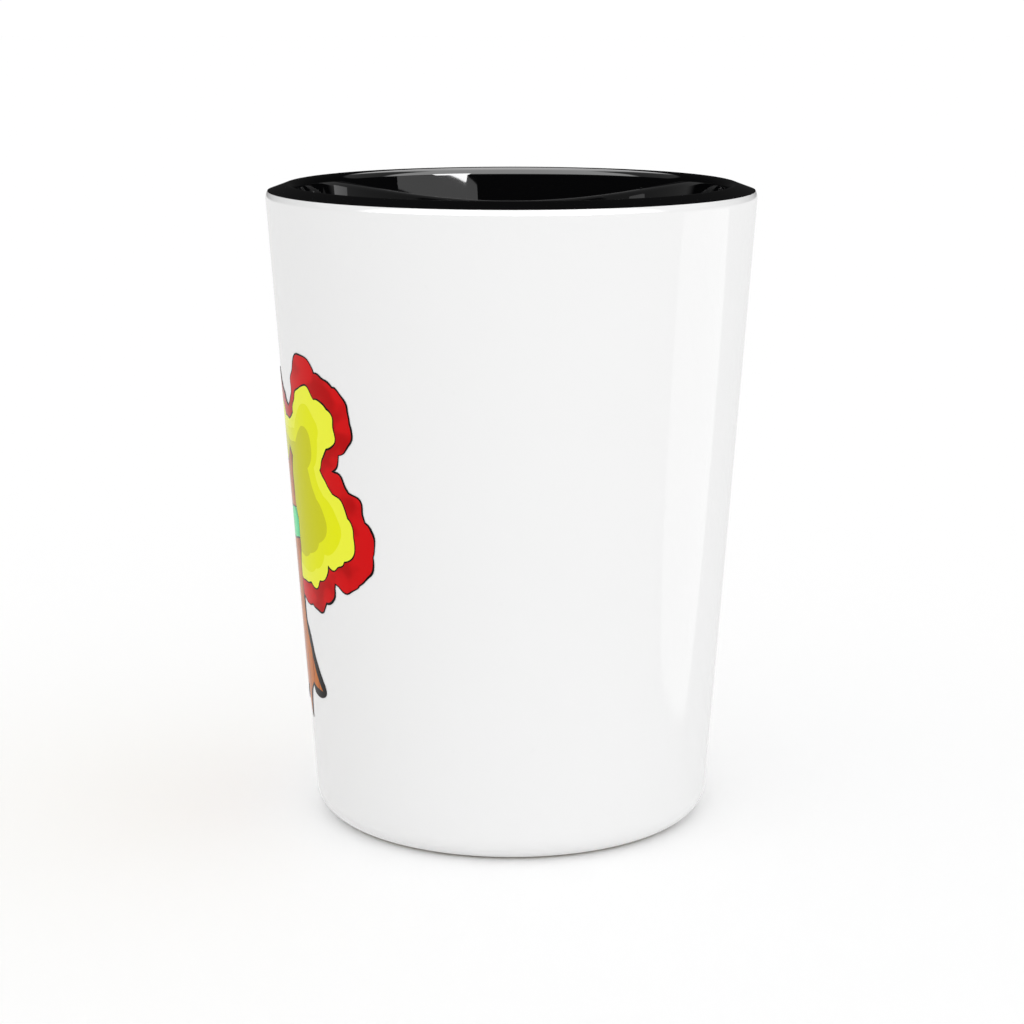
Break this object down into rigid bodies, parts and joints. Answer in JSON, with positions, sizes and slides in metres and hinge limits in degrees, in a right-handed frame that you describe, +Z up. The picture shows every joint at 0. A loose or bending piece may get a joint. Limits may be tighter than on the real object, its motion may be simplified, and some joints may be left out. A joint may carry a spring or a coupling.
{
  "type": "shot glass",
  "caption": "Tapered glazed ceramic shot cup, white outside and black inside and over the lip, with a printed autumn tree on the wall.",
  "frame": {"origin": "middle of the plane the foot ring stands on", "axes": "+Z up along the cup's axis, -Y towards the middle of the print"},
  "size_m": [0.0456, 0.0456, 0.06],
  "materials": {
    "bisque": "bare fired foot",
    "black_glaze": "gloss",
    "white_glaze": "gloss",
    "ink_black": "fused print",
    "ink_red": "fused print",
    "ink_light_yellow": "fused print",
    "ink_mid_yellow": "fused print",
    "ink_deep_yellow": "fused print",
    "ink_brown": "fused print",
    "ink_teal": "fused print"
  },
  "bodies": {
    "root": {"ceramic_body": "bisque", "liner_glaze": "black_glaze", "wall_glaze": "white_glaze", "base_glaze": "white_glaze", "print_keyline": "ink_black", "print_red_border": "ink_red", "print_light_yellow": "ink_light_yellow", "print_mid_yellow": "ink_mid_yellow", "print_deep_yellow": "ink_deep_yellow", "print_brown_boughs": "ink_brown", "print_brown_trunk": "ink_brown", "print_teal_band": "ink_teal", "print_root_shadow": "ink_black"}
  },
  "joints": []
}
